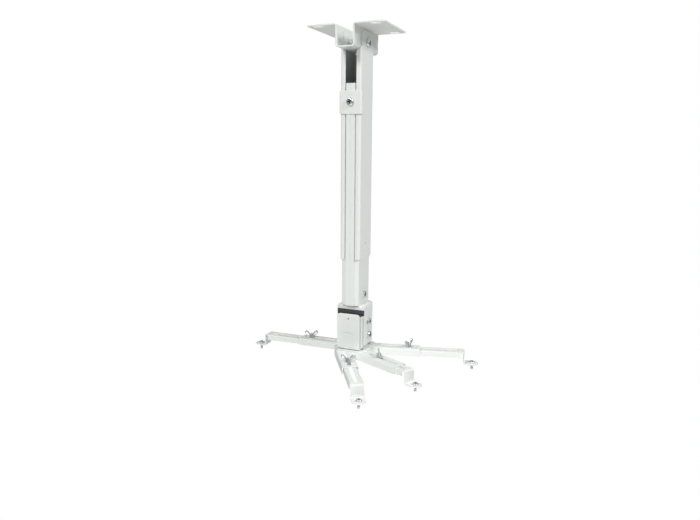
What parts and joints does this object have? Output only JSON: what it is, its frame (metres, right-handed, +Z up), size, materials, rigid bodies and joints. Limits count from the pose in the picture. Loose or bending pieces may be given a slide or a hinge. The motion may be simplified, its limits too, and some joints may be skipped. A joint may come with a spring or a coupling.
{
  "type": "projector ceiling mount",
  "caption": "Ceiling mount for a projector: slotted hat bracket, telescopic box column with clamp collar, tilting and swivelling head, and slotted spider arms with sliding legs.",
  "frame": {"origin": "middle of the ceiling bracket's top face, at the centre of its four slots", "axes": "+Z up towards the ceiling, +X to the right and -Y to the front, where the columns' slot and the head's front plate face"},
  "size_m": [0.3626, 0.219, 0.497],
  "materials": {
    "powder_coat": "satin white powder coat on sheet steel",
    "zinc": "bright zinc plate on steel",
    "black_nylon": "matt moulded nylon"
  },
  "bodies": {
    "ceiling": {"ceiling_bracket": "powder_coat", "column_pivot_screws": "zinc", "column_pivot_nuts": "zinc"},
    "outer": {"outer_column": "powder_coat"},
    "inner": {"inner_column": "powder_coat", "clamp_collar": "powder_coat", "clamp_screw": "zinc", "clamp_nut": "zinc", "column_saddle": "powder_coat", "saddle_screws": "zinc", "saddle_nuts": "zinc", "saddle_bolts": "zinc", "head_yoke": "powder_coat", "friction_block": "black_nylon"},
    "tilt_head": {"tilt_bracket": "powder_coat", "tilt_pivot_screws": "zinc", "tilt_pivot_nuts": "zinc", "tilt_lock_screws": "zinc", "tilt_lock_nuts": "zinc", "swivel_bolt": "zinc", "swivel_washer": "black_nylon", "swivel_nut": "zinc"},
    "hub": {"hub_plate": "powder_coat", "arm_pivot_screws": "zinc", "arm_pivot_nuts": "zinc"},
    "arm_front_left": {"arm_front_left": "powder_coat", "wing_nut_front_left": "zinc"},
    "leg_front_left": {"leg_front_left": "powder_coat", "foot_screw_front_left": "zinc"},
    "wing_front_left": {"wing_screw_front_left": "zinc"},
    "arm_front_right": {"arm_front_right": "powder_coat", "wing_nut_front_right": "zinc"},
    "leg_front_right": {"leg_front_right": "powder_coat", "foot_screw_front_right": "zinc"},
    "wing_front_right": {"wing_screw_front_right": "zinc"},
    "arm_right": {"arm_right": "powder_coat", "wing_nut_right": "zinc"},
    "leg_right": {"leg_right": "powder_coat", "foot_screw_right": "zinc"},
    "wing_right": {"wing_screw_right": "zinc"},
    "arm_left": {"arm_left": "powder_coat", "wing_nut_left": "zinc"},
    "leg_left": {"leg_left": "powder_coat", "foot_screw_left": "zinc"},
    "wing_left": {"wing_screw_left": "zinc"}
  },
  "joints": [
    {"name": "column_swing", "type": "hinge", "parent": "ceiling", "child": "outer", "pos_m": [0, 0, -0.02], "axis": [1, 0, 0], "range_deg": [-1.5, 1.5]},
    {"name": "column_slide", "type": "slide", "parent": "outer", "child": "inner", "axis": [0, 0, 1], "range_m": [-0.17, 0.04]},
    {"name": "head_tilt", "type": "hinge", "parent": "inner", "child": "tilt_head", "pos_m": [0, 0, -0.445], "axis": [1, 0, 0], "range_deg": [-10, 10]},
    {"name": "head_swivel", "type": "hinge", "parent": "tilt_head", "child": "hub", "pos_m": [0, 0, -0.464], "axis": [0, 0, 1], "continuous": true},
    {"name": "arm_turn_front_left", "type": "hinge", "parent": "hub", "child": "arm_front_left", "pos_m": [-0.015, -0.015, -0.4666], "axis": [0, 0, 1], "range_deg": [-71, 2]},
    {"name": "leg_slide_front_left", "type": "slide", "parent": "arm_front_left", "child": "leg_front_left", "axis": [0.515, -0.8572, 0], "range_m": [-0.039, 0.006]},
    {"name": "wing_turn_front_left", "type": "hinge", "parent": "arm_front_left", "child": "wing_front_left", "pos_m": [0.01693, -0.06814, -0.4666], "axis": [0, 0, 1], "continuous": true},
    {"name": "arm_turn_front_right", "type": "hinge", "parent": "hub", "child": "arm_front_right", "pos_m": [0.015, -0.015, -0.4666], "axis": [0, 0, 1], "range_deg": [-12, 26]},
    {"name": "leg_slide_front_right", "type": "slide", "parent": "arm_front_right", "child": "leg_front_right", "axis": [0.8988, -0.4384, 0], "range_m": [-0.0005, 0.024]},
    {"name": "wing_turn_front_right", "type": "hinge", "parent": "arm_front_right", "child": "wing_front_right", "pos_m": [0.05095, -0.03253, -0.4666], "axis": [0, 0, 1], "continuous": true},
    {"name": "arm_turn_right", "type": "hinge", "parent": "hub", "child": "arm_right", "pos_m": [0.015, 0.015, -0.4666], "axis": [0, 0, 1], "range_deg": [-14, 46]},
    {"name": "leg_slide_right", "type": "slide", "parent": "arm_right", "child": "leg_right", "axis": [0.9703, 0.2419, 0], "range_m": [-0.0475, 0.0005]},
    {"name": "wing_turn_right", "type": "hinge", "parent": "arm_right", "child": "wing_right", "pos_m": [0.0771, 0.03048, -0.4666], "axis": [0, 0, 1], "continuous": true},
    {"name": "arm_turn_left", "type": "hinge", "parent": "hub", "child": "arm_left", "pos_m": [-0.015, 0.015, -0.4666], "axis": [0, 0, 1], "range_deg": [-61, 18]},
    {"name": "leg_slide_left", "type": "slide", "parent": "arm_left", "child": "leg_left", "axis": [-0.9997, -0.0262, 0], "range_m": [-0.044, 0.006]},
    {"name": "wing_turn_left", "type": "hinge", "parent": "arm_left", "child": "wing_left", "pos_m": [-0.08098, 0.01327, -0.4666], "axis": [0, 0, 1], "continuous": true}
  ]
}
